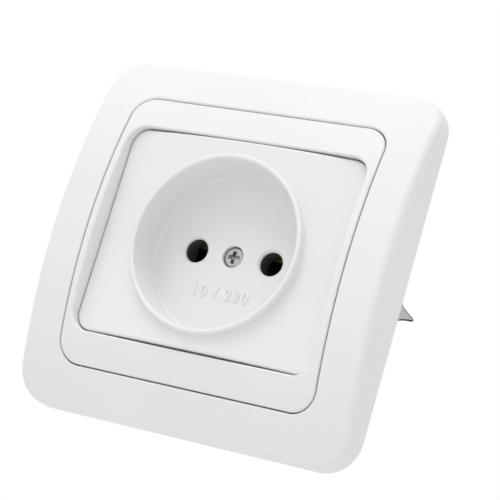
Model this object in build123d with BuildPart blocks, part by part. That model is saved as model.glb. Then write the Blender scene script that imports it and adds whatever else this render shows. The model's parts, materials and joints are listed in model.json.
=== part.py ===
"""Flush two-pin wall socket: arched frame, accent frame, plug-cup cover and claw-fixed insert.

X runs to the right, Z up and Y into the wall. The wall's surface is y = 0, and the room is at negative y,
so a height off the wall is a negative y. The insert repeats itself after half a turn about the Y axis.
All lengths are millimetres.
"""

import os
from math import cos, radians, sin, tan

from build123d import *

# Outer frame
frame_width = 84.0
frame_height = 84.0
frame_corner = 8.0
frame_rise = 11.8  # height of the arch's crest off the wall
frame_edge = 3.2  # height of the face at the top and bottom edges
frame_wall = 2.0
frame_draft = 4.0  # degrees, side walls lean in towards the face
frame_round = 1.6  # soft edge between the face and the side walls

# Accent frame, let into the outer frame
accent_width = 64.4  # of the seat in the outer frame
accent_height = 64.4
accent_corner = 5.6
accent_seat = 4.6  # height of the seat off the wall
seat_ledge = 1.4  # width of the ledge under the accent frame
seat_thickness = 1.2
seam_gap = 0.3
seam_round = 0.4
bar_wall = 1.8  # thickness of the hollow top and bottom bars

# Opening for the cover
opening_width = 60.4
opening_height = 49.0
opening_corner = 4.5
cover_ledge = 1.0  # width of the ledge under the cover
cover_ledge_thickness = 1.2
cover_gap = 0.45  # above and below the cover
cover_side_gap = 0.15  # at its left and right

# Cover
cover_crest = 9.6  # height of the face at its middle
cover_edge = 7.2  # height of the face at its left and right edges
cover_wall = 1.8
cover_round = 0.5

# Plug cup
cup_radius = 19.5
cup_wall = 1.1
cup_rim = 11.0  # height of the lip off the wall
cup_depth = 10.5
cup_floor = 2.6
lip_round = 0.5
cup_floor_round = 0.8

# Pins
pin_spacing = 19.0
pin_hole_radius = 2.8
pin_hole_chamfer = 0.45
pin_hole_edge = 1.0  # thickness of the cup's floor round a pin hole
pin_boss_radius = 4.0  # bosses of the base that stand in the floor behind the pin holes

# Cover screw and its nut
screw_radius = 1.5
screw_head_radius = 2.35
screw_head_height = 1.3
screw_head_sink = 0.5  # head below the cup's floor
screw_length = 14.0
cross_length = 2.8  # arms of the cross recess
cross_width = 0.8
cross_depth = 0.7
nut_across_flats = 5.5
nut_height = 2.4

# Support bracket
bracket_width = 70.0
bracket_height = 70.0
bracket_corner = 9.0
bracket_thickness = 1.0
box_screw_spacing = 60.0
box_slot_radius = 2.2
box_slot_length = 7.0

# Base
base_width = 45.0
base_height = 46.0
base_corner = 10.0
base_depth = 24.0
base_round = 1.0
base_floor = 2.8  # wall between the cup and the contact pockets
plate_thickness = 1.6  # plate that closes the base's back
plate_rim = 1.6  # of the base round that plate
wire_entry_radius = 2.6
rivet_radius = 1.25
rivet_head_radius = 2.2
rivet_head_height = 0.9
rivet_length = 8.0
rivet_x = 17.6
rivet_z = 16.6

# Contacts
strip = 0.8  # brass strip
jaw_gap = 3.8
jaw_length = 7.6  # from the web to the jaws' free ends
contact_depth = 11.0
contact_bend = 0.7
clip_strip = 0.5  # steel spring clip
clip_depth = 5.0

# Terminals
block_width = 5.6
block_height = 7.5
block_depth = 9.0
wire_hole_radius = 1.6
terminal_screw_radius = 1.45
terminal_head_radius = 2.4
terminal_head_height = 1.8
terminal_drop = 14.0  # of the terminal below the pins

# Claws
claw_strip = 1.0
claw_height = 10.4  # of the strip between the bracket's ears
claw_length = 19.0  # from the hinge to the tooth's tip, along the strip
claw_shoulder = 12.2  # where the tooth's hollow edges leave the strip's edges
claw_hollow = 0.7  # depth of those hollows
claw_tip_drop = 1.5  # of the tooth's tip below the strip's middle
claw_tip_width = 0.6
claw_bend = 16.0  # where the tip is bent outwards
tip_bend_angle = 22.0
claw_spread = 25.0  # degrees between the strip and the depth axis, as photographed
claw_offset = 1.7  # of the strip outside the hinge
claw_ear_radius = 2.0
claw_window_start = 2.6
claw_window_length = 8.4
claw_window_height = 7.2
tongue_reach = 7.4
tongue_height = 6.8
tongue_root = 0.1  # left between the strip and the screw's slot
hinge_depth = 7.0  # of the hinge behind the wall's surface
hinge_pin_radius = 1.0
hinge_pin_head = 0.5
bracket_ear_radius = 2.4
claw_screw_radius = 1.5
claw_screw_head_radius = 2.6
claw_screw_head_height = 1.9
claw_screw_length = 15.0
claw_screw_offset = 5.0  # of the screw beyond the hinge
claw_nut_side = 5.5
claw_nut_height = 2.4

# Clearances
slip = 0.2  # between pieces that slide together
running = 0.08  # round a pin that turns
thread = 0.05  # between a screw and its thread
pocket = 0.3  # round pieces laid in pockets

# Worked out from the sizes above
frame_sag = frame_rise - frame_edge
arch_radius = ((frame_height / 2) ** 2 + frame_sag**2) / (2 * frame_sag)
arch_centre = arch_radius - frame_rise
cover_width = opening_width - 2 * cover_side_gap
cover_height = opening_height - 2 * cover_gap
cover_sag = cover_crest - cover_edge
cover_radius = ((cover_width / 2) ** 2 + cover_sag**2) / (2 * cover_sag)
cover_centre = cover_radius - cover_crest
cover_seat = accent_seat + cover_ledge_thickness
cup_outer = cup_radius + cup_wall
floor_front = cup_depth - cup_rim
floor_back = floor_front + cup_floor
pocket_front = floor_back + base_floor
head_front = floor_front + screw_head_sink
head_back = head_front + screw_head_height
nut_front = head_back + screw_length - 2 * nut_height
web_x = pin_spacing / 2 + jaw_gap / 2 + strip + pocket  # the strip that joins a contact's two jaws
contact_front = pocket_front + pocket
block_x = web_x + strip / 2 + thread + block_width / 2
block_front = contact_front + (contact_depth - block_depth) / 2
wire_y = block_front + block_depth / 2
plate_front = base_depth - plate_thickness
hinge_x = base_width / 2 + bracket_ear_radius + pocket
claw_screw_x = hinge_x + claw_screw_offset
ear_z = claw_height / 2 + slip
claw_nut_front = hinge_depth + claw_window_start + slip

os.makedirs("parts", exist_ok=True)


def facing_room(height):
    """Plane parallel to the wall, `height` off it, whose normal points into the room."""
    return Plane.XZ.offset(height)


def rounded(width, height, corner, inset=0.0):
    """Rounded rectangle, drawn `inset` inside the outline that the first three sizes give."""
    RectangleRounded(width - 2 * inset, height - 2 * inset, corner - inset)


def finish(part, name):
    """Label a finished piece and write it."""
    part.label = name
    export_step(part, f"parts/{name}.step")


def half_turn(part):
    """The same piece at the other pole, turned half round about the depth axis."""
    with BuildPart() as turned:
        add(part, rotation=(0, 180, 0))
    return turned.part


# Outer frame: a drafted block under the arch, hollow at the back, with a stepped window
seat_back = accent_seat - seat_thickness

with BuildPart() as frame_hollow:
    with BuildSketch(facing_room(0)):
        rounded(frame_width, frame_height, frame_corner, frame_wall)
    extrude(amount=frame_rise, taper=frame_draft)
    with BuildSketch(facing_room(seat_back)):
        rounded(accent_width, accent_height, accent_corner, -frame_wall)
    extrude(amount=frame_rise, mode=Mode.SUBTRACT)
    with Locations((0, arch_centre, 0)):
        Cylinder(arch_radius - frame_wall, 2 * frame_width, rotation=(0, 90, 0), mode=Mode.INTERSECT)

with BuildPart() as outer_frame:
    with BuildSketch(facing_room(0)):
        rounded(frame_width, frame_height, frame_corner)
    extrude(amount=frame_rise, taper=frame_draft)
    with Locations((0, arch_centre, 0)):
        Cylinder(arch_radius, 2 * frame_width, rotation=(0, 90, 0), mode=Mode.INTERSECT)
    face = outer_frame.faces().filter_by(GeomType.CYLINDER).sort_by(SortBy.AREA)[-1]
    fillet(face.edges(), frame_round)
    add(frame_hollow.part, mode=Mode.SUBTRACT)
    with BuildSketch(facing_room(accent_seat)):
        rounded(accent_width, accent_height, accent_corner)
    extrude(amount=frame_rise, mode=Mode.SUBTRACT)
    with BuildSketch(facing_room(0)):
        rounded(accent_width, accent_height, accent_corner, seat_ledge)
    extrude(amount=frame_rise, mode=Mode.SUBTRACT)
    face = outer_frame.faces().filter_by(GeomType.CYLINDER).sort_by(SortBy.AREA)[-1]
    fillet(face.inner_wires().edges(), seam_round)
finish(outer_frame.part, "outer_frame")

# Accent frame: the same arch, with hollow bars above and below the stepped opening
accent_bar = (accent_height - opening_height) / 2 - seam_gap

with BuildPart() as bar_hollows:
    with BuildSketch(facing_room(accent_seat)):
        with GridLocations(accent_width, opening_height + accent_bar, 1, 2):
            Rectangle(accent_width - 2 * accent_corner, accent_bar - 2 * bar_wall)
    extrude(amount=frame_rise)
    with Locations((0, arch_centre, 0)):
        Cylinder(arch_radius - bar_wall, 2 * frame_width, rotation=(0, 90, 0), mode=Mode.INTERSECT)

with BuildPart() as accent_frame:
    with BuildSketch(facing_room(accent_seat)):
        rounded(accent_width, accent_height, accent_corner, seam_gap)
    extrude(amount=frame_rise)
    with Locations((0, arch_centre, 0)):
        Cylinder(arch_radius, 2 * frame_width, rotation=(0, 90, 0), mode=Mode.INTERSECT)
    with BuildSketch(facing_room(cover_seat)):
        rounded(opening_width, opening_height, opening_corner)
    extrude(amount=frame_rise, mode=Mode.SUBTRACT)
    with BuildSketch(facing_room(0)):
        rounded(opening_width, opening_height, opening_corner, cover_ledge)
    extrude(amount=frame_rise, mode=Mode.SUBTRACT)
    face = accent_frame.faces().filter_by(GeomType.CYLINDER).sort_by(SortBy.AREA)[-1]
    fillet(face.edges(), seam_round)
    add(bar_hollows.part, mode=Mode.SUBTRACT)
finish(accent_frame.part, "accent_frame")

# Cover: a shell arched from side to side, with the plug cup let in
cover_corner = opening_corner - cover_gap


def cup_floor_face():
    """The flat floor of the cup, as far as it is made."""
    level = cover.faces().filter_by(Axis.Y)
    return level.filter_by_position(Axis.Y, floor_front - slip, floor_front + slip).face()


with BuildPart() as cover_hollow:
    with BuildSketch(facing_room(0)):
        rounded(cover_width, cover_height, cover_corner, cover_wall)
    extrude(amount=cover_crest)
    with Locations((0, cover_centre, 0)):
        Cylinder(cover_radius - cover_wall, 2 * cover_height, mode=Mode.INTERSECT)

with BuildPart() as cover:
    with BuildSketch(facing_room(cover_seat)):
        rounded(cover_width, cover_height, cover_corner)
    extrude(amount=cover_crest)
    with Locations((0, cover_centre, 0)):
        Cylinder(cover_radius, 2 * cover_height, mode=Mode.INTERSECT)
    face = cover.faces().filter_by(GeomType.CYLINDER).sort_by(SortBy.AREA)[-1]
    fillet(face.edges(), cover_round)
    add(cover_hollow.part, mode=Mode.SUBTRACT)
    with BuildSketch(facing_room(-floor_back)):
        Circle(cup_outer)
    extrude(amount=floor_back + cup_rim)
    with BuildSketch(facing_room(-floor_front)):
        Circle(cup_radius)
    extrude(amount=cup_depth, mode=Mode.SUBTRACT)
    fillet(cover.faces().sort_by(Axis.Y)[0].edges(), lip_round)
    fillet(cup_floor_face().edges(), cup_floor_round)
    with BuildSketch(facing_room(-floor_front)):
        with GridLocations(pin_spacing, pin_spacing, 2, 1):
            Circle(pin_hole_radius)
    extrude(amount=-cup_floor, mode=Mode.SUBTRACT)
    chamfer(cup_floor_face().inner_wires().edges(), pin_hole_chamfer)
    with BuildSketch(facing_room(-floor_back)):
        with GridLocations(pin_spacing, pin_spacing, 2, 1):
            Circle(pin_boss_radius + slip)
    extrude(amount=cup_floor - pin_hole_edge, mode=Mode.SUBTRACT)
    with Locations(facing_room(-floor_front)):
        CounterBoreHole(
            screw_radius + slip,
            screw_head_radius + slip,
            screw_head_sink + screw_head_height,
            cup_floor,
        )
finish(cover.part, "cover")

# Cover screw and the nut that it is drawn into
with BuildPart() as cover_screw:
    with BuildSketch(facing_room(-head_back)):
        Circle(screw_head_radius)
    extrude(amount=screw_head_height)
    fillet(cover_screw.faces().sort_by(Axis.Y)[0].edges(), screw_head_height / 3)
    with BuildSketch(facing_room(-head_back)):
        Circle(screw_radius)
    extrude(amount=-screw_length)
    with BuildSketch(facing_room(-head_front)):
        Rectangle(cross_length, cross_width)
        Rectangle(cross_width, cross_length)
    extrude(amount=-cross_depth, mode=Mode.SUBTRACT)
finish(cover_screw.part, "cover_screw")

with BuildPart() as centre_nut:
    with BuildSketch(facing_room(-nut_front)):
        RegularPolygon(nut_across_flats / 2, 6, major_radius=False)
        Circle(screw_radius + thread, mode=Mode.SUBTRACT)
    extrude(amount=-nut_height)
finish(centre_nut.part, "centre_nut")

# Brass contact: two jaws joined by a web, and a tail down to the terminal
jaw_z = (jaw_gap + strip) / 2
tail_depth = contact_depth - clip_depth - 2 * pocket
contact_back = contact_front + contact_depth

with BuildPart() as contact_right:
    with BuildSketch(facing_room(-contact_front)):
        with BuildLine():
            FilletPolyline(
                (web_x - jaw_length, jaw_z),
                (web_x, jaw_z),
                (web_x, -jaw_z),
                (web_x - jaw_length, -jaw_z),
                radius=contact_bend,
            )
        trace(line_width=strip)
    extrude(amount=-contact_depth)
    with BuildSketch(facing_room(-contact_back)):
        with Locations((web_x, 0)):
            Rectangle(strip, terminal_drop + block_height / 2, align=(Align.CENTER, Align.MAX))
    extrude(amount=tail_depth)
finish(contact_right.part, "contact_right")
finish(half_turn(contact_right.part), "contact_left")

# Steel clip sprung round the jaws, ahead of the tail
clip_x = web_x + (strip + clip_strip) / 2 + thread
clip_z = jaw_z + (strip + clip_strip) / 2 + thread

with BuildPart() as contact_clip_right:
    with BuildSketch(facing_room(-contact_front - pocket)):
        with BuildLine():
            FilletPolyline(
                (clip_x - jaw_length, clip_z),
                (clip_x, clip_z),
                (clip_x, -clip_z),
                (clip_x - jaw_length, -clip_z),
                radius=contact_bend,
            )
        trace(line_width=clip_strip)
    extrude(amount=-clip_depth)
finish(contact_clip_right.part, "contact_clip_right")
finish(half_turn(contact_clip_right.part), "contact_clip_left")

# Terminal block beside the tail, with a wire hole from the back and a screw from below
block_bottom = -terminal_drop - block_height / 2

with BuildPart() as terminal_right:
    with BuildSketch(facing_room(-block_front)):
        with Locations((block_x, -terminal_drop)):
            Rectangle(block_width, block_height)
            Circle(wire_hole_radius, mode=Mode.SUBTRACT)
    extrude(amount=-block_depth)
    with BuildSketch(Plane.XY.offset(block_bottom)):
        with Locations((block_x, wire_y)):
            Circle(terminal_screw_radius + thread)
    extrude(amount=block_height / 2, mode=Mode.SUBTRACT)
finish(terminal_right.part, "terminal_right")
finish(half_turn(terminal_right.part), "terminal_left")

with BuildPart() as terminal_screw_right:
    with BuildSketch(Plane.XY.offset(block_bottom)):
        with Locations((block_x, wire_y)):
            Circle(terminal_head_radius)
    extrude(amount=-terminal_head_height)
    with BuildSketch(Plane.XY.offset(block_bottom)):
        with Locations((block_x, wire_y)):
            Circle(terminal_screw_radius)
    extrude(amount=block_height / 2 - wire_hole_radius)
    with BuildSketch(Plane.XY.offset(block_bottom - terminal_head_height)):
        with Locations((block_x, wire_y)):
            Rectangle(2 * terminal_head_radius, cross_width)
    extrude(amount=cross_depth, mode=Mode.SUBTRACT)
finish(terminal_screw_right.part, "terminal_screw_right")
finish(half_turn(terminal_screw_right.part), "terminal_screw_left")

# Base: a block with a seat for the cup, a boss behind each pin hole, and a pocket for each pole that opens
# at the back
with BuildPart() as pole_pocket:
    with BuildSketch(facing_room(-pocket_front)):
        with Locations((clip_x + clip_strip / 2 + pocket, 0)):
            Rectangle(
                jaw_length + clip_strip + 3 * pocket,
                2 * clip_z + clip_strip + 2 * pocket,
                align=(Align.MAX, Align.CENTER),
            )
        with Locations((web_x - strip / 2 - pocket, 0)):
            Rectangle(
                strip + thread + block_width + 2 * pocket,
                pocket - block_bottom,
                align=(Align.MIN, Align.MAX),
            )
    extrude(amount=-base_depth)
    with BuildSketch(Plane.XY.offset(block_bottom)):
        with Locations((block_x, wire_y)):
            Circle(terminal_head_radius + slip)
    extrude(amount=-base_height)

with BuildPart() as base:
    with BuildSketch(facing_room(0)):
        rounded(base_width, base_height, base_corner)
    extrude(amount=-base_depth)
    fillet(base.faces().sort_by(Axis.Y)[-1].edges(), base_round)
    with BuildSketch(facing_room(0)):
        Circle(cup_outer + slip)
    extrude(amount=-floor_back, mode=Mode.SUBTRACT)
    with BuildSketch(facing_room(-floor_back)):
        with GridLocations(pin_spacing, pin_spacing, 2, 1):
            Circle(pin_boss_radius)
    extrude(amount=cup_floor - pin_hole_edge - slip)
    with BuildSketch(facing_room(-floor_front)):
        with GridLocations(pin_spacing, pin_spacing, 2, 1):
            Circle(pin_hole_radius + slip)
    extrude(amount=-cup_floor - base_floor, mode=Mode.SUBTRACT)
    with BuildSketch(facing_room(0)):
        Circle(screw_radius + slip)
    extrude(amount=-base_depth, mode=Mode.SUBTRACT)
    with BuildSketch(facing_room(-nut_front)):
        RegularPolygon(nut_across_flats / 2 + thread, 6, major_radius=False)
    extrude(amount=-base_depth, mode=Mode.SUBTRACT)
    add(pole_pocket.part, mode=Mode.SUBTRACT)
    add(pole_pocket.part, rotation=(0, 180, 0), mode=Mode.SUBTRACT)
    with BuildSketch(facing_room(0)):
        with Locations((rivet_x, rivet_z), (-rivet_x, -rivet_z)):
            Circle(rivet_radius + thread)
    extrude(amount=-rivet_length, mode=Mode.SUBTRACT)
    with BuildSketch(facing_room(-plate_front)):
        rounded(base_width, base_height, base_corner, plate_rim)
    extrude(amount=-plate_thickness, mode=Mode.SUBTRACT)
finish(base.part, "base")

# Insulating plate let into the base's back, with an entry for each wire
with BuildPart() as back_plate:
    with BuildSketch(facing_room(-plate_front)):
        rounded(base_width, base_height, base_corner, plate_rim + slip)
        with Locations((block_x, -terminal_drop), (-block_x, terminal_drop)):
            Circle(wire_entry_radius, mode=Mode.SUBTRACT)
    extrude(amount=-plate_thickness)
finish(back_plate.part, "back_plate")

# Rivets that hold the bracket to the base
with BuildPart() as rivet_right:
    with BuildSketch(facing_room(bracket_thickness)):
        with Locations((rivet_x, rivet_z)):
            Circle(rivet_head_radius)
    extrude(amount=rivet_head_height)
    fillet(rivet_right.faces().sort_by(Axis.Y)[0].edges(), rivet_head_height / 2)
    with BuildSketch(facing_room(bracket_thickness)):
        with Locations((rivet_x, rivet_z)):
            Circle(rivet_radius)
    extrude(amount=-rivet_length)
finish(rivet_right.part, "rivet_right")
finish(half_turn(rivet_right.part), "rivet_left")

# Support bracket: a plate on the wall, with two pairs of ears bent back out of its claw windows
with BuildPart() as bracket:
    with BuildSketch(facing_room(0)):
        rounded(bracket_width, bracket_height, bracket_corner)
        Circle(cup_outer + slip, mode=Mode.SUBTRACT)
        with GridLocations(bracket_width, box_screw_spacing, 1, 2):
            SlotOverall(box_slot_length, 2 * box_slot_radius, rotation=90, mode=Mode.SUBTRACT)
        with GridLocations(2 * claw_screw_x, bracket_height, 2, 1):
            Circle(claw_screw_radius + slip, mode=Mode.SUBTRACT)
        with GridLocations(2 * hinge_x, bracket_height, 2, 1):
            Rectangle(2 * bracket_ear_radius, 2 * ear_z, mode=Mode.SUBTRACT)
        with Locations((rivet_x, rivet_z), (-rivet_x, -rivet_z)):
            Circle(rivet_radius + thread, mode=Mode.SUBTRACT)
    extrude(amount=bracket_thickness)
    for ear_bottom in (ear_z, -ear_z - bracket_thickness):
        with BuildSketch(Plane.XY.offset(ear_bottom)):
            with Locations((hinge_x, 0), (-hinge_x, 0)):
                Rectangle(2 * bracket_ear_radius, hinge_depth, align=(Align.CENTER, Align.MIN))
            with Locations((hinge_x, hinge_depth), (-hinge_x, hinge_depth)):
                Circle(bracket_ear_radius)
                Circle(hinge_pin_radius + thread, mode=Mode.SUBTRACT)
        extrude(amount=bracket_thickness)
finish(bracket.part, "bracket")

# Claw: a stamped strip hinged between the ears, with a tooth between two hollow edges, its tip bent outwards,
# and a tongue bent out of its window, forked round the claw screw
spread = radians(claw_spread)
along = Vector(sin(spread), cos(spread), 0)
outward = Vector(cos(spread), -sin(spread), 0)
hinge = Vector(hinge_x, hinge_depth, 0)
section_plane = Plane(hinge, x_dir=along, z_dir=(0, 0, -1))
side_plane = Plane(hinge, x_dir=along, z_dir=outward)
tongue_plane = Plane(hinge, x_dir=outward, z_dir=along)
tip_offset = claw_offset + (claw_length - claw_bend) * tan(radians(tip_bend_angle))
slot_start = claw_offset + claw_strip / 2 + tongue_root
half_height = claw_height / 2
tip_top = claw_tip_width / 2 - claw_tip_drop
tip_bottom = tip_top - claw_tip_width

with BuildPart() as claw_right:
    with BuildSketch(section_plane):
        with BuildLine():
            Polyline((-claw_ear_radius, claw_offset), (claw_bend, claw_offset), (claw_length, tip_offset))
        trace(line_width=claw_strip)
    extrude(amount=half_height, both=True)
    with BuildSketch(side_plane):
        with BuildLine():
            SagittaArc((claw_shoulder, half_height), (claw_length, tip_top), -claw_hollow)
            Line((claw_length, tip_top), (claw_length, tip_bottom))
            SagittaArc((claw_length, tip_bottom), (claw_shoulder, -half_height), -claw_hollow)
            Polyline(
                (claw_shoulder, -half_height),
                (claw_length + claw_strip, -half_height),
                (claw_length + claw_strip, half_height),
                (claw_shoulder, half_height),
            )
        make_face()
    extrude(amount=2 * tip_offset, both=True, mode=Mode.SUBTRACT)
    with BuildSketch(side_plane):
        with Locations((claw_window_start, 0)):
            Rectangle(claw_window_length, claw_window_height, align=(Align.MIN, Align.CENTER))
    extrude(amount=tongue_reach, mode=Mode.SUBTRACT)
    with BuildSketch(section_plane):
        with Locations((claw_window_start, claw_offset)):
            Rectangle(claw_strip, tongue_reach - claw_offset, align=(Align.MAX, Align.MIN))
    extrude(amount=tongue_height / 2, both=True)
    with BuildSketch(tongue_plane):
        with Locations((slot_start, 0)):
            Rectangle(tongue_reach, 2 * (claw_screw_radius + slip), align=(Align.MIN, Align.CENTER))
    extrude(amount=claw_window_start, mode=Mode.SUBTRACT)
    for ear_bottom in (half_height - claw_strip, -half_height):
        with BuildSketch(section_plane.offset(ear_bottom)):
            Circle(claw_ear_radius)
            Rectangle(2 * claw_ear_radius, claw_offset, align=(Align.CENTER, Align.MIN))
        extrude(amount=claw_strip)
    with BuildSketch(section_plane):
        Circle(hinge_pin_radius + running)
    extrude(amount=half_height, both=True, mode=Mode.SUBTRACT)
finish(claw_right.part, "claw_right")
finish(half_turn(claw_right.part), "claw_left")

# Hinge pin, headed over outside the bracket's ears
pin_reach = ear_z + bracket_thickness

with BuildPart() as hinge_pin_right:
    with BuildSketch(Plane.XY):
        with Locations((hinge_x, hinge_depth)):
            Circle(hinge_pin_radius)
    extrude(amount=pin_reach, both=True)
    for head_bottom in (pin_reach, -pin_reach - hinge_pin_head):
        with BuildSketch(Plane.XY.offset(head_bottom)):
            with Locations((hinge_x, hinge_depth)):
                Circle(hinge_pin_radius + hinge_pin_head)
        extrude(amount=hinge_pin_head)
finish(hinge_pin_right.part, "hinge_pin_right")
finish(half_turn(hinge_pin_right.part), "hinge_pin_left")

# Claw screw through the bracket, and the nut behind the claw's fork, backed off to its loosest place
with BuildPart() as claw_screw_right:
    with BuildSketch(facing_room(bracket_thickness)):
        with Locations((claw_screw_x, 0)):
            Circle(claw_screw_head_radius)
    extrude(amount=claw_screw_head_height)
    fillet(claw_screw_right.faces().sort_by(Axis.Y)[0].edges(), claw_screw_head_height / 3)
    with BuildSketch(facing_room(bracket_thickness)):
        with Locations((claw_screw_x, 0)):
            Circle(claw_screw_radius)
    extrude(amount=-claw_screw_length)
    with BuildSketch(facing_room(bracket_thickness + claw_screw_head_height)):
        with Locations((claw_screw_x, 0)):
            Rectangle(cross_width, 2 * claw_screw_head_radius)
    extrude(amount=-cross_depth, mode=Mode.SUBTRACT)
finish(claw_screw_right.part, "claw_screw_right")
finish(half_turn(claw_screw_right.part), "claw_screw_left")

with BuildPart() as claw_nut_right:
    with BuildSketch(facing_room(-claw_nut_front)):
        with Locations((claw_screw_x, 0)):
            Rectangle(claw_nut_side, claw_nut_side)
            Circle(claw_screw_radius + thread, mode=Mode.SUBTRACT)
    extrude(amount=-claw_nut_height)
finish(claw_nut_right.part, "claw_nut_right")
finish(half_turn(claw_nut_right.part), "claw_nut_left")
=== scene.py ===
# %% [markdown]
# A flush two-pin wall socket, dressed for the camera.
# The construction comes in as a fixed frame: every piece at its real size, in metres, with X to the right,
# Z up and Y into the wall. This lesson gives each surface its finish, models the small things that a mould
# or a lathe leaves on the real object, and sets up a plain studio round it.

# %% Load the frame
import json
import math

import bpy
from mathutils import Matrix, Vector

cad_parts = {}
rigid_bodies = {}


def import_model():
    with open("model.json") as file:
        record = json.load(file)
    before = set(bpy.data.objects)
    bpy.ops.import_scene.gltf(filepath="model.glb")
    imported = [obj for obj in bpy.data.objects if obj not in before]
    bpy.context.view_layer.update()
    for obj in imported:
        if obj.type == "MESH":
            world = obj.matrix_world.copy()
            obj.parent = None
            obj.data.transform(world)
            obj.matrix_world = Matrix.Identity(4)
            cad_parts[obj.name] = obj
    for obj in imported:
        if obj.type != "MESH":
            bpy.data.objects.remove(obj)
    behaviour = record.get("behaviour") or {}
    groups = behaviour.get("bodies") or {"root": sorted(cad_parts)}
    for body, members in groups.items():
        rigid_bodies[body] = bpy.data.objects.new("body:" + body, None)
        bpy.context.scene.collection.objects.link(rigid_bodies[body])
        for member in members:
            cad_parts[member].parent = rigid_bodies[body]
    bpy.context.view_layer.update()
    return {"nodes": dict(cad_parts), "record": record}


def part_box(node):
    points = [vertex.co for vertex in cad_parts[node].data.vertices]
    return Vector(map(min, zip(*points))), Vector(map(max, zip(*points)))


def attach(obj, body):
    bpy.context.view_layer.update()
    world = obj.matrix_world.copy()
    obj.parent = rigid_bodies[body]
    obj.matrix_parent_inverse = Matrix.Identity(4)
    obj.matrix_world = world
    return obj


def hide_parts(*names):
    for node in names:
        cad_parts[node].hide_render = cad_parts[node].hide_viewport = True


for leftover in list(bpy.data.objects):
    bpy.data.objects.remove(leftover)
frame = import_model()
MM = 0.001
body_of = {n: b for b, names in frame["record"]["behaviour"]["bodies"].items() for n in names}
slot_of = {s["node"]: s["material_slot"] for s in frame["record"]["subparts"]}
print("pieces in the frame:", len(frame["nodes"]), "on bodies", sorted(set(body_of.values())))

# %% [markdown]
# Operators act on whatever is selected, so a small helper first clears the selection and makes one piece
# active. A second one picks faces or edges by a rule about their place, which is what a person does by eye
# with box select. A third one puts a piece's place into its mesh, and the object itself goes to the origin.


# %% Selecting by hand, in code
def only(piece):
    """Make `piece` the one selected, active object."""
    bpy.ops.object.select_all(action="DESELECT")
    piece.select_set(True)
    bpy.context.view_layer.objects.active = piece


def pick(piece, kind, rule):
    """Go into edit mode with the vertices, edges or faces selected for which rule(element) holds."""
    mesh = piece.data
    elements_of = {"VERT": mesh.vertices, "EDGE": mesh.edges, "FACE": mesh.polygons}
    for elements in elements_of.values():
        elements.foreach_set("select", [False] * len(elements))
    for element in elements_of[kind]:
        element.select = rule(element)
    bpy.context.tool_settings.mesh_select_mode = [kind == k for k in elements_of]
    bpy.ops.object.mode_set(mode="EDIT")


def settle(piece):
    """Put the piece's place into its mesh, so that the object sits at the origin, unturned and unscaled."""
    only(piece)
    bpy.ops.object.transform_apply(location=True, rotation=True, scale=True)


print("selecting helpers ready")

# %% [markdown]
# The white shells are moulded in a hard plastic with a silky sheen. Real mouldings are never one flat
# colour: the tone drifts very slightly, the sheen is a little uneven where the melt cooled, and a faint
# orange peel breaks up reflections. Noise on Object coordinates gives all three, at sizes in millimetres.

# %% Node helpers and the moulded white
noise_low, noise_high = 0.3, 0.7  # most values of a noise texture lie between these


def new_material(name):
    """A node material with its shader, and a texture coordinate in metres."""
    material = bpy.data.materials.new(name)
    material.use_nodes = True
    tree = material.node_tree
    shader = tree.nodes["Principled BSDF"]
    place = tree.nodes.new("ShaderNodeTexCoord")
    return material, tree, shader, place.outputs["Object"]


def noise(tree, place, grain_mm, detail=2.0, stretch=(1, 1, 1)):
    """Noise whose features are about `grain_mm` across, drawn out along the axes by `stretch`."""
    mapping = tree.nodes.new("ShaderNodeMapping")
    mapping.inputs["Scale"].default_value = [1 / (grain_mm * MM * s) for s in stretch]
    texture = tree.nodes.new("ShaderNodeTexNoise")
    texture.inputs["Scale"].default_value = 1.0
    texture.inputs["Detail"].default_value = detail
    tree.links.new(place, mapping.inputs["Vector"])
    tree.links.new(mapping.outputs["Vector"], texture.inputs["Vector"])
    return texture.outputs["Fac"]


def spread(tree, value, low, high):
    """Map a noise value to the range from low to high."""
    ranged = tree.nodes.new("ShaderNodeMapRange")
    ranged.inputs["From Min"].default_value = noise_low
    ranged.inputs["From Max"].default_value = noise_high
    ranged.inputs["To Min"].default_value = low
    ranged.inputs["To Max"].default_value = high
    tree.links.new(value, ranged.inputs["Value"])
    return ranged.outputs["Result"]


def tint(tree, value, dark, light):
    """Blend between two colours by a noise value."""
    ramp = tree.nodes.new("ShaderNodeValToRGB")
    ramp.color_ramp.elements[0].position = noise_low
    ramp.color_ramp.elements[1].position = noise_high
    ramp.color_ramp.elements[0].color = (*dark, 1)
    ramp.color_ramp.elements[1].color = (*light, 1)
    tree.links.new(value, ramp.inputs["Fac"])
    return ramp.outputs["Color"]


def bump(tree, shader, value, height_mm, strength):
    """Raise the surface by a noise value, `height_mm` from low to high."""
    node = tree.nodes.new("ShaderNodeBump")
    node.inputs["Distance"].default_value = height_mm * MM
    node.inputs["Strength"].default_value = strength
    tree.links.new(value, node.inputs["Height"])
    tree.links.new(node.outputs["Normal"], shader.inputs["Normal"])


def moulded_white():
    """White plastic with a drifting tone, an uneven sheen and a faint orange peel."""
    material, tree, shader, place = new_material("moulded_white")
    drift = noise(tree, place, grain_mm=30)
    tone = tint(tree, drift, dark=(0.835, 0.836, 0.832), light=(0.86, 0.86, 0.855))
    cooling = noise(tree, place, grain_mm=9, detail=4)
    sheen = spread(tree, cooling, low=0.46, high=0.54)
    orange_peel = noise(tree, place, grain_mm=0.9, detail=3)
    tree.links.new(tone, shader.inputs["Base Color"])
    tree.links.new(sheen, shader.inputs["Roughness"])
    shader.inputs["IOR"].default_value = 1.45
    bump(tree, shader, orange_peel, height_mm=0.002, strength=0.6)
    return material


white = moulded_white()
print("made", white.name)

# %% [markdown]
# The base and its back plate are a dark, mineral-filled insulating plastic: matt, grainy, with a slightly
# cloudy tone. The same helpers serve, with a finer and deeper bump for the grain.


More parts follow.
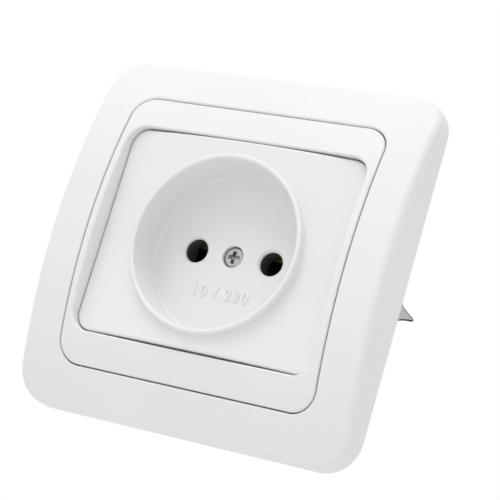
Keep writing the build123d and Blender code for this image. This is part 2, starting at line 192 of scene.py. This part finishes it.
# %% Insulating plastic
def insulating_plastic():
    """Dark, matt plastic with a cloudy tone and a mineral grain."""
    material, tree, shader, place = new_material("insulating_plastic")
    clouds = noise(tree, place, grain_mm=6, detail=5)
    tone = tint(tree, clouds, dark=(0.075, 0.075, 0.08), light=(0.105, 0.105, 0.11))
    patches = noise(tree, place, grain_mm=2, detail=3)
    sheen = spread(tree, patches, low=0.5, high=0.66)
    mineral_grain = noise(tree, place, grain_mm=0.35, detail=4)
    tree.links.new(tone, shader.inputs["Base Color"])
    tree.links.new(sheen, shader.inputs["Roughness"])
    bump(tree, shader, mineral_grain, height_mm=0.012, strength=0.7)
    return material


insulating = insulating_plastic()
print("made", insulating.name)

# %% [markdown]
# The stamped pieces are sheet steel with a thin bright zinc coat. Rolling leaves fine streaks along the
# strip, and the plating clouds over in patches. Noise drawn out along one axis gives the streaks. The claws
# are a harder, greyer spring steel, and the press leaves their cut edges torn and dark. A screw's drive is
# coloured a little darker than its head, as painted shade for its recess. The contacts are brass that has
# dulled with age, darkened further as painted shade for the deep pin holes.

# %% Metals
along_height = (1, 1, 16)  # how far the streaks are drawn out along X, Y and Z
along_depth = (1, 12, 1)
no_direction = (1, 1, 1)
coarse = (2, 2, 2)


def streaked_metal(name, dark, light, roughness, streaks_run):
    """Metal that clouds over from light to dark, with streaks in its sheen."""
    material, tree, shader, place = new_material(name)
    clouds = noise(tree, place, grain_mm=3.5, detail=5)
    streaks = noise(tree, place, grain_mm=0.25, detail=3, stretch=streaks_run)
    smoothest, roughest = roughness
    sheen = spread(tree, streaks, smoothest, roughest)
    tree.links.new(tint(tree, clouds, dark, light), shader.inputs["Base Color"])
    tree.links.new(sheen, shader.inputs["Roughness"])
    shader.inputs["Metallic"].default_value = 1.0
    bump(tree, shader, streaks, height_mm=0.003, strength=0.5)
    return material


plated_steel = streaked_metal(
    "plated_steel",
    dark=(0.50, 0.50, 0.50),
    light=(0.62, 0.62, 0.61),
    roughness=(0.28, 0.42),
    streaks_run=along_height,
)
screw_steel = streaked_metal(
    "screw_steel",
    dark=(0.44, 0.43, 0.45),
    light=(0.54, 0.53, 0.55),
    roughness=(0.22, 0.36),
    streaks_run=coarse,
)
claw_steel = streaked_metal(
    "claw_steel",
    dark=(0.46, 0.46, 0.46),
    light=(0.56, 0.56, 0.56),
    roughness=(0.28, 0.42),
    streaks_run=along_height,
)
sheared_edge = streaked_metal(
    "sheared_edge",
    dark=(0.05, 0.05, 0.05),
    light=(0.10, 0.10, 0.10),
    roughness=(0.45, 0.6),
    streaks_run=no_direction,
)
# painted shade: the drive is coloured darker than the head to stand for the shade in its recess
drive_painted_shade = streaked_metal(
    "drive_painted_shade",
    dark=(0.34, 0.33, 0.35),
    light=(0.50, 0.49, 0.51),
    roughness=(0.2, 0.32),
    streaks_run=coarse,
)
# dull brass, darkened further as painted shade for the deep pin holes
brass = streaked_metal(
    "contact_brass",
    dark=(0.22, 0.16, 0.08),
    light=(0.31, 0.23, 0.11),
    roughness=(0.3, 0.45),
    streaks_run=along_depth,
)
finish_of = {
    "white_plastic": white,
    "insulator": insulating,
    "plated_steel": plated_steel,
    "contact_brass": brass,
}
for name, node in frame["nodes"].items():
    node.data.materials.clear()
    node.data.materials.append(finish_of[slot_of[name]])
print("finishes on", len(frame["nodes"]), "pieces")

# %% [markdown]
# Every screw on the socket is turned and rolled from steel wire: a head with a rounded rim, a drive pressed
# into it, and a rolled thread. The thread could be a texture, but its profile shows from the back, so it is
# modelled the way a lathe cuts it: one tooth is drawn on the rod's flank, and the Screw modifier carries it
# round the axis and one pitch along it at each turn.

# %% Threaded rod
thread_pitch = 0.5
thread_tooth = 0.28  # height of the tooth
steps_per_turn = 28
thread_weld = 0.002  # turns closer than this are joined


def threaded_rod(radius, length):
    """A rod with a rolled thread along Z, from z = 0 down to -length; millimetres."""
    bpy.ops.mesh.primitive_plane_add(size=MM)
    rod = bpy.context.object
    bpy.ops.object.mode_set(mode="EDIT")
    bpy.ops.mesh.select_mode(type="VERT")
    bpy.ops.mesh.select_all(action="SELECT")
    bpy.ops.mesh.merge(type="CENTER")
    bpy.ops.transform.translate(value=((radius - thread_tooth) * MM, 0, -length * MM))
    for outward in (thread_tooth, -thread_tooth):
        bpy.ops.mesh.extrude_vertices_move(
            TRANSFORM_OT_translate={"value": (outward * MM, 0, thread_pitch / 2 * MM)}
        )
    bpy.ops.object.mode_set(mode="OBJECT")
    lathe = rod.modifiers.new("lathe", "SCREW")
    lathe.axis = "Z"
    lathe.screw_offset = thread_pitch * MM
    lathe.iterations = math.floor(length / thread_pitch) - 1
    lathe.steps = steps_per_turn
    lathe.render_steps = steps_per_turn
    bpy.ops.object.modifier_apply(modifier="lathe")
    bpy.ops.object.mode_set(mode="EDIT")
    bpy.ops.mesh.select_all(action="SELECT")
    bpy.ops.mesh.remove_doubles(threshold=thread_weld * MM)
    bpy.ops.mesh.fill_holes(sides=0)
    bpy.ops.mesh.select_all(action="SELECT")
    bpy.ops.mesh.normals_make_consistent(inside=False)
    bpy.ops.object.mode_set(mode="OBJECT")
    return rod


print("thread pitch", thread_pitch, "mm")

# %% [markdown]
# The head starts as a short cylinder. Its upper rim is bevelled to the soft shoulder of a pan head, and the
# drive is cut with a Boolean by a tapered punch, which is how the real drive is pressed in. A cross drive
# is the same punch twice, with a square pit in the middle. The faces that the punch leaves are picked by
# their place, below the head's top, and get the darker finish, a painted shade for the recess.

# %% Screw head
head_sides = 64
shoulder_share = 0.4  # of the head's height that the rounded shoulder takes
shoulder_steps = 5
punch_nose = 0.4  # width of the punch's nose against its other end
looks_down = -0.9  # a face whose normal has a lower z than this looks down


def tapered_punch(width, reach, depth, turn, top):
    """A bar that narrows downwards to `depth` below the level `top`, turned about Z; millimetres."""
    bpy.ops.mesh.primitive_cube_add(size=MM, location=(0, 0, top * MM))
    punch = bpy.context.object
    punch.scale = (reach, width, 2 * depth)
    punch.rotation_euler = (0, 0, turn)
    settle(punch)
    pick(punch, "FACE", lambda face: face.normal.z < looks_down)
    bpy.ops.transform.resize(value=(punch_nose, punch_nose, 1))
    bpy.ops.object.mode_set(mode="OBJECT")
    return punch


def press_in(piece, punch):
    """Cut the punch out of the piece, then put the punch away."""
    only(piece)
    cut = piece.modifiers.new("drive", "BOOLEAN")
    cut.operation = "DIFFERENCE"
    cut.solver = "EXACT"
    cut.object = punch
    bpy.ops.object.modifier_apply(modifier="drive")
    bpy.data.objects.remove(punch)


def paint(piece, finishes, rule):
    """Give the piece the first finish, and the second one on the faces for which rule(face) holds."""
    only(piece)
    piece.data.materials.clear()
    for finish in finishes:
        piece.data.materials.append(finish)
    pick(piece, "FACE", rule)
    piece.active_material_index = 1
    bpy.ops.object.material_slot_assign()
    bpy.ops.object.mode_set(mode="OBJECT")


def screw_head(radius, height, punches):
    """A pan head from z = 0 up to `height`, with its drive pressed in; millimetres."""
    bpy.ops.mesh.primitive_cylinder_add(
        vertices=head_sides,
        radius=radius * MM,
        depth=height * MM,
        location=(0, 0, height / 2 * MM),
    )
    head = bpy.context.object
    settle(head)
    near_top = 0.9 * height * MM
    on_top = [vertex.co.z > near_top for vertex in head.data.vertices]
    pick(head, "EDGE", lambda edge: all(on_top[v] for v in edge.vertices))
    bpy.ops.mesh.bevel(offset=shoulder_share * height * MM, segments=shoulder_steps)
    bpy.ops.object.mode_set(mode="OBJECT")
    for punch in punches:
        press_in(head, tapered_punch(top=height, **punch))
    above_underside = 0.1 * height * MM
    below_top = 0.95 * height * MM
    inside_rim = 0.7 * radius * MM
    # the faces inside the drive take the darker finish, painted shade for the recess
    paint(head, (screw_steel, drive_painted_shade), lambda face: (
        above_underside < face.center.z < below_top and face.center.xy.length < inside_rim
    ))
    return head


print("head of", head_sides, "sides ready")

# %% [markdown]
# Now the screws go where the frame holds plain ones. The cover screw has the cross drive that shows in the
# middle of the cup. The claw screws and the terminal screws are slotted. Each takes its place and length
# from the box of the piece that it replaces, and its sizes are in millimetres.

# %% Screws in their places
quarter = math.pi / 2
thread_crease = math.radians(35)  # edges sharper than this stay sharp in the light
cross_arm = {"width": 1.35, "reach": 4.2, "depth": 0.9}
cross_pit = {"width": 2.0, "reach": 2.0, "depth": 1.1}
cross = [{**cross_arm, "turn": 0}, {**cross_arm, "turn": quarter}, {**cross_pit, "turn": quarter / 2}]
slot = [{"width": 0.8, "reach": 6.0, "depth": 0.7, "turn": 0}]


def stand_in(piece, name):
    """Let the piece take the place of the frame's own piece of that name, on the same body."""
    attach(piece, body_of[name])
    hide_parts(name)


def fit_screw(name, head_radius, head_height, rod_radius, punches, turn):
    """Model a screw whose head looks along Z turned about X by `turn`, in place of the frame's own."""
    low, high = (Vector(corner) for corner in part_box(name))
    outward = (Matrix.Rotation(turn, 3, "X") @ Vector((0, 0, 1))).normalized()
    reach = abs(outward.dot(high - low))
    screw = screw_head(head_radius, head_height, punches)
    rod = threaded_rod(rod_radius, reach / MM - head_height)
    only(screw)
    rod.select_set(True)
    bpy.ops.object.join()
    screw.name = name + "_threaded"
    screw.rotation_euler = (turn, 0, 0)
    screw.location = (low + high) / 2 + outward * (reach / 2 - head_height * MM)
    settle(screw)
    bpy.ops.object.shade_smooth_by_angle(angle=thread_crease)
    stand_in(screw, name)
    print(screw.name, round(reach / MM, 2), "mm long")


fit_screw("cover_screw", head_radius=2.35, head_height=1.3, rod_radius=1.5, punches=cross, turn=quarter)
for side, terminal_turn in (("right", math.pi), ("left", 0)):
    fit_screw(
        "claw_screw_" + side,
        head_radius=2.6,
        head_height=1.9,
        rod_radius=1.5,
        punches=slot,
        turn=quarter,
    )
    fit_screw(
        "terminal_screw_" + side,
        head_radius=2.4,
        head_height=1.8,
        rod_radius=1.45,
        punches=slot,
        turn=terminal_turn,
    )

# %% [markdown]
# A stamped or moulded edge is never perfectly sharp: the tool leaves a small radius that catches the light.
# Each of these pieces is copied from the frame, its loose triangles are merged into whole faces, and a fine
# bevel goes round every edge. Weighted normals then keep the large faces flat in the light.

# %% Softened edges
corner_weld = 0.001  # corners closer than this, in millimetres, are one corner
flat_angle = math.radians(0.5)  # triangles that meet at less than this are one face
edge_angle = math.radians(40)  # faces that meet at more than this have an edge between them
bevel_steps = 2
large_face_weight = 100  # lets the larger face decide the shading


def soften(name, width):
    """Put a copy whose edges are bevelled back by `width` millimetres in place of the frame's piece."""
    only(frame["nodes"][name])
    bpy.ops.object.duplicate()
    piece = bpy.context.object
    piece.name = name + "_softened"
    bpy.ops.object.parent_clear(type="CLEAR_KEEP_TRANSFORM")
    bpy.ops.mesh.customdata_custom_splitnormals_clear()
    bpy.ops.object.mode_set(mode="EDIT")
    bpy.ops.mesh.select_all(action="SELECT")
    bpy.ops.mesh.remove_doubles(threshold=corner_weld * MM)
    bpy.ops.mesh.dissolve_limited(angle_limit=flat_angle)
    bpy.ops.object.mode_set(mode="OBJECT")
    edge = piece.modifiers.new("edge", "BEVEL")
    edge.width = width * MM
    edge.segments = bevel_steps
    edge.limit_method = "ANGLE"
    edge.use_clamp_overlap = False
    edge.angle_limit = edge_angle
    bpy.ops.object.modifier_apply(modifier="edge")
    bpy.ops.object.shade_smooth_by_angle(angle=edge_angle)
    even = piece.modifiers.new("even", "WEIGHTED_NORMAL")
    even.weight = large_face_weight
    even.keep_sharp = True
    bpy.ops.object.modifier_apply(modifier="even")
    stand_in(piece, name)
    print(piece.name, len(piece.data.polygons), "faces")
    return piece


for side in ("right", "left"):
    soften("claw_nut_" + side, width=0.3)
    soften("terminal_" + side, width=0.2)
soften("bracket", width=0.15)

# %% [markdown]
# A claw is stamped from the strip in one blow, so it has bright rolled faces and a dark torn edge all the
# way round. The edge is told from the faces by the way it looks: the strip stands off the depth axis by the
# claw's spread, and its tip is bent further out. The ears round the hinge keep their bright faces.

# %% Claws with sheared edges
claw_spread = 25  # degrees between the strip and the depth axis
tip_bend = 22  # degrees more at the tip
strip_angles = [math.radians(claw_spread), math.radians(claw_spread + tip_bend)]
ears_end = 10 * MM  # depth behind which the claw is a plain strip
face_on = 0.97  # a rolled face looks across the strip at least this squarely


def sheared(face, side_sign):
    """Whether the face belongs to the cut outline of the claw on that side."""
    outward = face.normal.x * side_sign
    squareness = [abs(outward * math.cos(a) - face.normal.y * math.sin(a)) for a in strip_angles]
    return face.center.y > ears_end and max(squareness) < face_on


for side, side_sign in (("right", 1), ("left", -1)):
    claw = soften("claw_" + side, width=0.34)
    paint(claw, (claw_steel, sheared_edge), lambda face: sheared(face, side_sign))

# %% [markdown]
# The cup's floor carries a small raised figure line, cut into the mould. It is plain numbers, as text
# turned into a mesh, let into the floor by half its thickness so that only the raised half shows.

# %% Raised figures
head_sink = 0.5 * MM  # of the cover screw below the floor
floor_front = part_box("cover_screw")[0][1] - head_sink
figures_shift = -0.4 * MM  # to the right of the cup's middle, so negative is to the left
figures_drop = 9.9 * MM  # below the cup's middle
bpy.ops.object.text_add(location=(figures_shift, floor_front, -figures_drop), rotation=(quarter, 0, 0))
figures = bpy.context.object
figures.name = "raised_figures"
figures.data.body = "10 / 230"
figures.data.align_x = "CENTER"
figures.data.size = 3.5 * MM
figures.data.space_character = 1.22
figures.data.extrude = 0.28 * MM
figures.data.bevel_depth = 0.02 * MM
figures.data.resolution_u = 6
bpy.ops.object.convert(target="MESH")
settle(figures)
figures.data.materials.append(white)
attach(figures, body_of["cover"])
print("figures", [round(d / MM, 2) for d in figures.dimensions], "mm")

# %% [markdown]
# The camera stands to the right of the socket and a little below it, and is rolled, so that the socket
# leans in the picture. A long lens keeps the square nearly parallel-sided.

# %% Camera
aim = Vector((7.5, -7.6, 0.5)) * MM
camera_turn = math.radians(28.35)  # to the right of the socket's axis
camera_rise = math.radians(-12.0)  # above the socket, so negative is below
camera_roll = math.radians(16.6)
camera_distance = 377.3 * MM
sensor_width = 36.0
focal_in_pixels = 1743.0
picture_pixels = 500.0

back = Vector((
    math.sin(camera_turn) * math.cos(camera_rise),
    -math.cos(camera_turn) * math.cos(camera_rise),
    math.sin(camera_rise),
))
camera_data = bpy.data.cameras.new("camera")
camera_data.sensor_width = sensor_width
camera_data.lens = sensor_width * focal_in_pixels / picture_pixels
camera_data.clip_start = 0.01
camera_data.clip_end = 10.0
camera = bpy.data.objects.new("camera", camera_data)
bpy.context.scene.collection.objects.link(camera)
level = (-back).to_track_quat("-Z", "Y").to_matrix()
camera.matrix_world = Matrix.Translation(aim + back * camera_distance) @ (
    level @ Matrix.Rotation(camera_roll, 3, "Z")
).to_4x4()
bpy.context.scene.camera = camera
print("camera at", [round(c, 4) for c in camera.matrix_world.translation])

# %% [markdown]
# One broad lamp stands high above the front, a little to the left. Several lamps would fill the shade that
# makes the cup look deep, but a single steep one draws a soft shade across the cup's floor.

# %% Lamp
lamp_place = Vector((-0.25, -0.75, 1.35))
lamp_data = bpy.data.lights.new("high_lamp", "AREA")
lamp_data.shape = "SQUARE"
lamp_data.size = 0.85
lamp_data.energy = 8.6
lamp = bpy.data.objects.new("high_lamp", lamp_data)
bpy.context.scene.collection.objects.link(lamp)
lamp.location = lamp_place
lamp.rotation_mode = "QUATERNION"
lamp.rotation_quaternion = (-lamp_place).to_track_quat("-Z", "Y")
print("lamp", round(lamp_place.length, 2), "m from the socket")

# %% [markdown]
# The room adds an even light from all sides. The backdrop is set apart from it: where the camera or a
# mirrored ray looks past the object it finds plain white, whatever the strength of the room light.

# %% Room light and backdrop
plain_white = (1, 1, 1, 1)
room_strength = 0.8
backdrop_strength = 1.0

room = bpy.data.worlds.new("room")
bpy.context.scene.world = room
room.use_nodes = True
room_tree = room.node_tree
surroundings = room_tree.nodes["Background"]
surroundings.inputs["Color"].default_value = plain_white
surroundings.inputs["Strength"].default_value = room_strength
backdrop = room_tree.nodes.new("ShaderNodeBackground")
backdrop.inputs["Color"].default_value = plain_white
backdrop.inputs["Strength"].default_value = backdrop_strength
rays = room_tree.nodes.new("ShaderNodeLightPath")
seen = rays.outputs["Is Camera Ray"]
for kind in ("Is Glossy Ray", "Is Transmission Ray"):
    either = room_tree.nodes.new("ShaderNodeMath")
    either.operation = "MAXIMUM"
    room_tree.links.new(seen, either.inputs[0])
    room_tree.links.new(rays.outputs[kind], either.inputs[1])
    seen = either.outputs["Value"]
mixed = room_tree.nodes.new("ShaderNodeMixShader")
room_tree.links.new(seen, mixed.inputs["Fac"])
room_tree.links.new(surroundings.outputs["Background"], mixed.inputs[1])
room_tree.links.new(backdrop.outputs["Background"], mixed.inputs[2])
room_tree.links.new(mixed.outputs["Shader"], room_tree.nodes["World Output"].inputs["Surface"])
bpy.context.scene.view_settings.view_transform = "Standard"
print("room light", room_strength, "with a backdrop of", backdrop_strength)

# %% [markdown]
# A pale matt floor lies well below the socket, so that the shadow on it stays out of the picture. It is a
# plain square.

# %% Floor
floor_drop = 0.45
floor_size = 4.0
bpy.ops.mesh.primitive_plane_add(size=floor_size, location=(0, 0, -floor_drop))
floor = bpy.context.object
floor.name = "floor"
floor_paint, floor_tree, floor_shader, floor_place = new_material("floor_paint")
floor_clouds = noise(floor_tree, floor_place, grain_mm=60)
floor_tone = tint(floor_tree, floor_clouds, dark=(0.88, 0.88, 0.88), light=(0.9, 0.9, 0.9))
floor_tree.links.new(floor_tone, floor_shader.inputs["Base Color"])
floor_shader.inputs["Roughness"].default_value = 0.9
floor.data.materials.append(floor_paint)
print("floor", floor_drop, "m below the socket")
